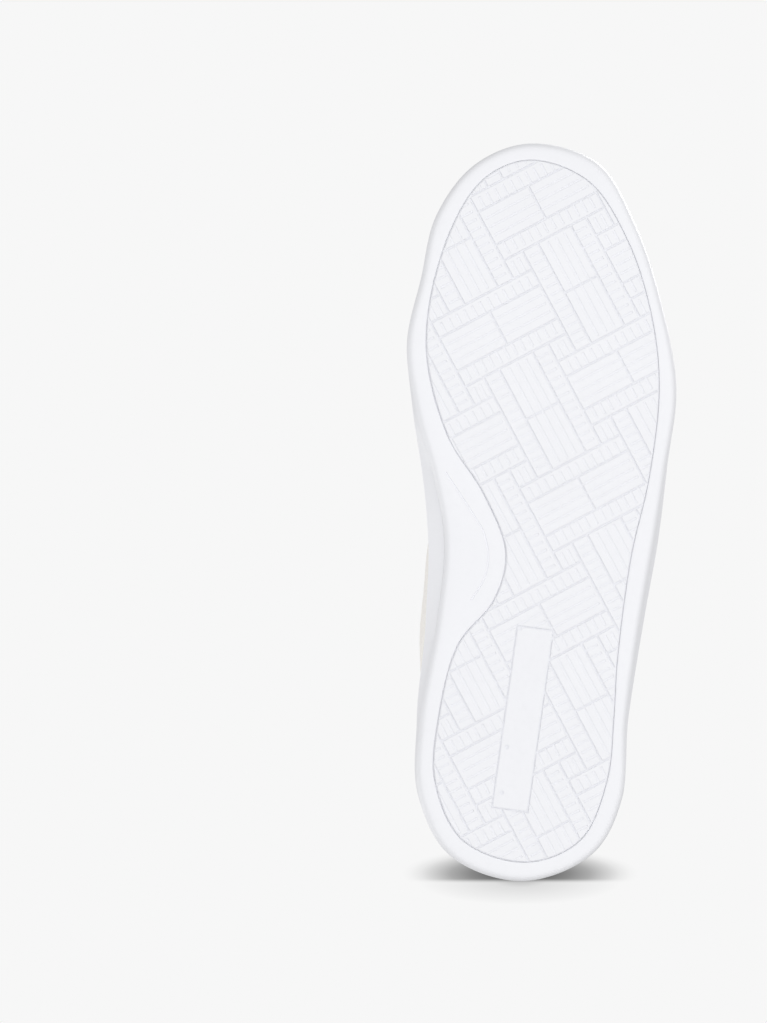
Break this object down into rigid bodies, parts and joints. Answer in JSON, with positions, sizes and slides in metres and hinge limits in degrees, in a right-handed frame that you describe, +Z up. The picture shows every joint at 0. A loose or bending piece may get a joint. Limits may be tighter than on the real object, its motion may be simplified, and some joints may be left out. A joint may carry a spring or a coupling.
{
  "type": "court shoe",
  "caption": "Low laced court shoe for the left foot: padded leather upper on a stitched rubber cupsole, with an inset basket-weave tread.",
  "frame": {"origin": "centre of the shoe's bounding box in plan, on the ground plane under the tread", "axes": "+Z up, -Y towards the toe, +Y towards the heel, +X towards the outer (lateral) side of the left foot"},
  "size_m": [0.1092, 0.2999, 0.1145],
  "materials": {
    "tread_rubber": "matte",
    "cup_rubber": "matte",
    "eva_foam": "matte",
    "board": "matte",
    "leather": "semi-matte, fine grain",
    "lining_fabric": "matte",
    "lace_cotton": "matte",
    "eyelet_plastic": "satin",
    "thread": "matte"
  },
  "bodies": {
    "shoe": {"outsole": "tread_rubber", "cupsole": "cup_rubber", "midsole_insert": "eva_foam", "insole_board": "board", "vamp": "leather", "quarter_lateral": "leather", "quarter_medial": "leather", "eyestay_lateral": "leather", "eyestay_medial": "leather", "toe_cap": "leather", "heel_counter": "leather", "heel_tab": "leather", "vamp_lining": "lining_fabric", "collar_lining": "lining_fabric", "toe_puff": "board", "heel_stiffener": "board", "collar_foam": "eva_foam", "lace": "lace_cotton", "eyelet_lateral_1": "eyelet_plastic", "eyelet_lateral_2": "eyelet_plastic", "eyelet_lateral_3": "eyelet_plastic", "eyelet_lateral_4": "eyelet_plastic", "eyelet_lateral_5": "eyelet_plastic", "eyelet_lateral_6": "eyelet_plastic", "eyelet_medial_1": "eyelet_plastic", "eyelet_medial_2": "eyelet_plastic", "eyelet_medial_3": "eyelet_plastic", "eyelet_medial_4": "eyelet_plastic", "eyelet_medial_5": "eyelet_plastic", "eyelet_medial_6": "eyelet_plastic"},
    "tongue": {"tongue_shell": "leather", "tongue_foam": "eva_foam", "tongue_lining": "lining_fabric"},
    "footbed": {"sockliner": "lining_fabric"}
  },
  "joints": [
    {"name": "tongue_hinge", "type": "hinge", "parent": "shoe", "child": "tongue", "pos_m": [-0.007, -0.062, 0.05], "axis": [1, 0, 0], "range_deg": [-12, 0]},
    {"name": "footbed_lift", "type": "hinge", "parent": "shoe", "child": "footbed", "pos_m": [-0.0045, -0.1357, 0.0243], "axis": [1, 0, 0], "range_deg": [0, 5]}
  ]
}
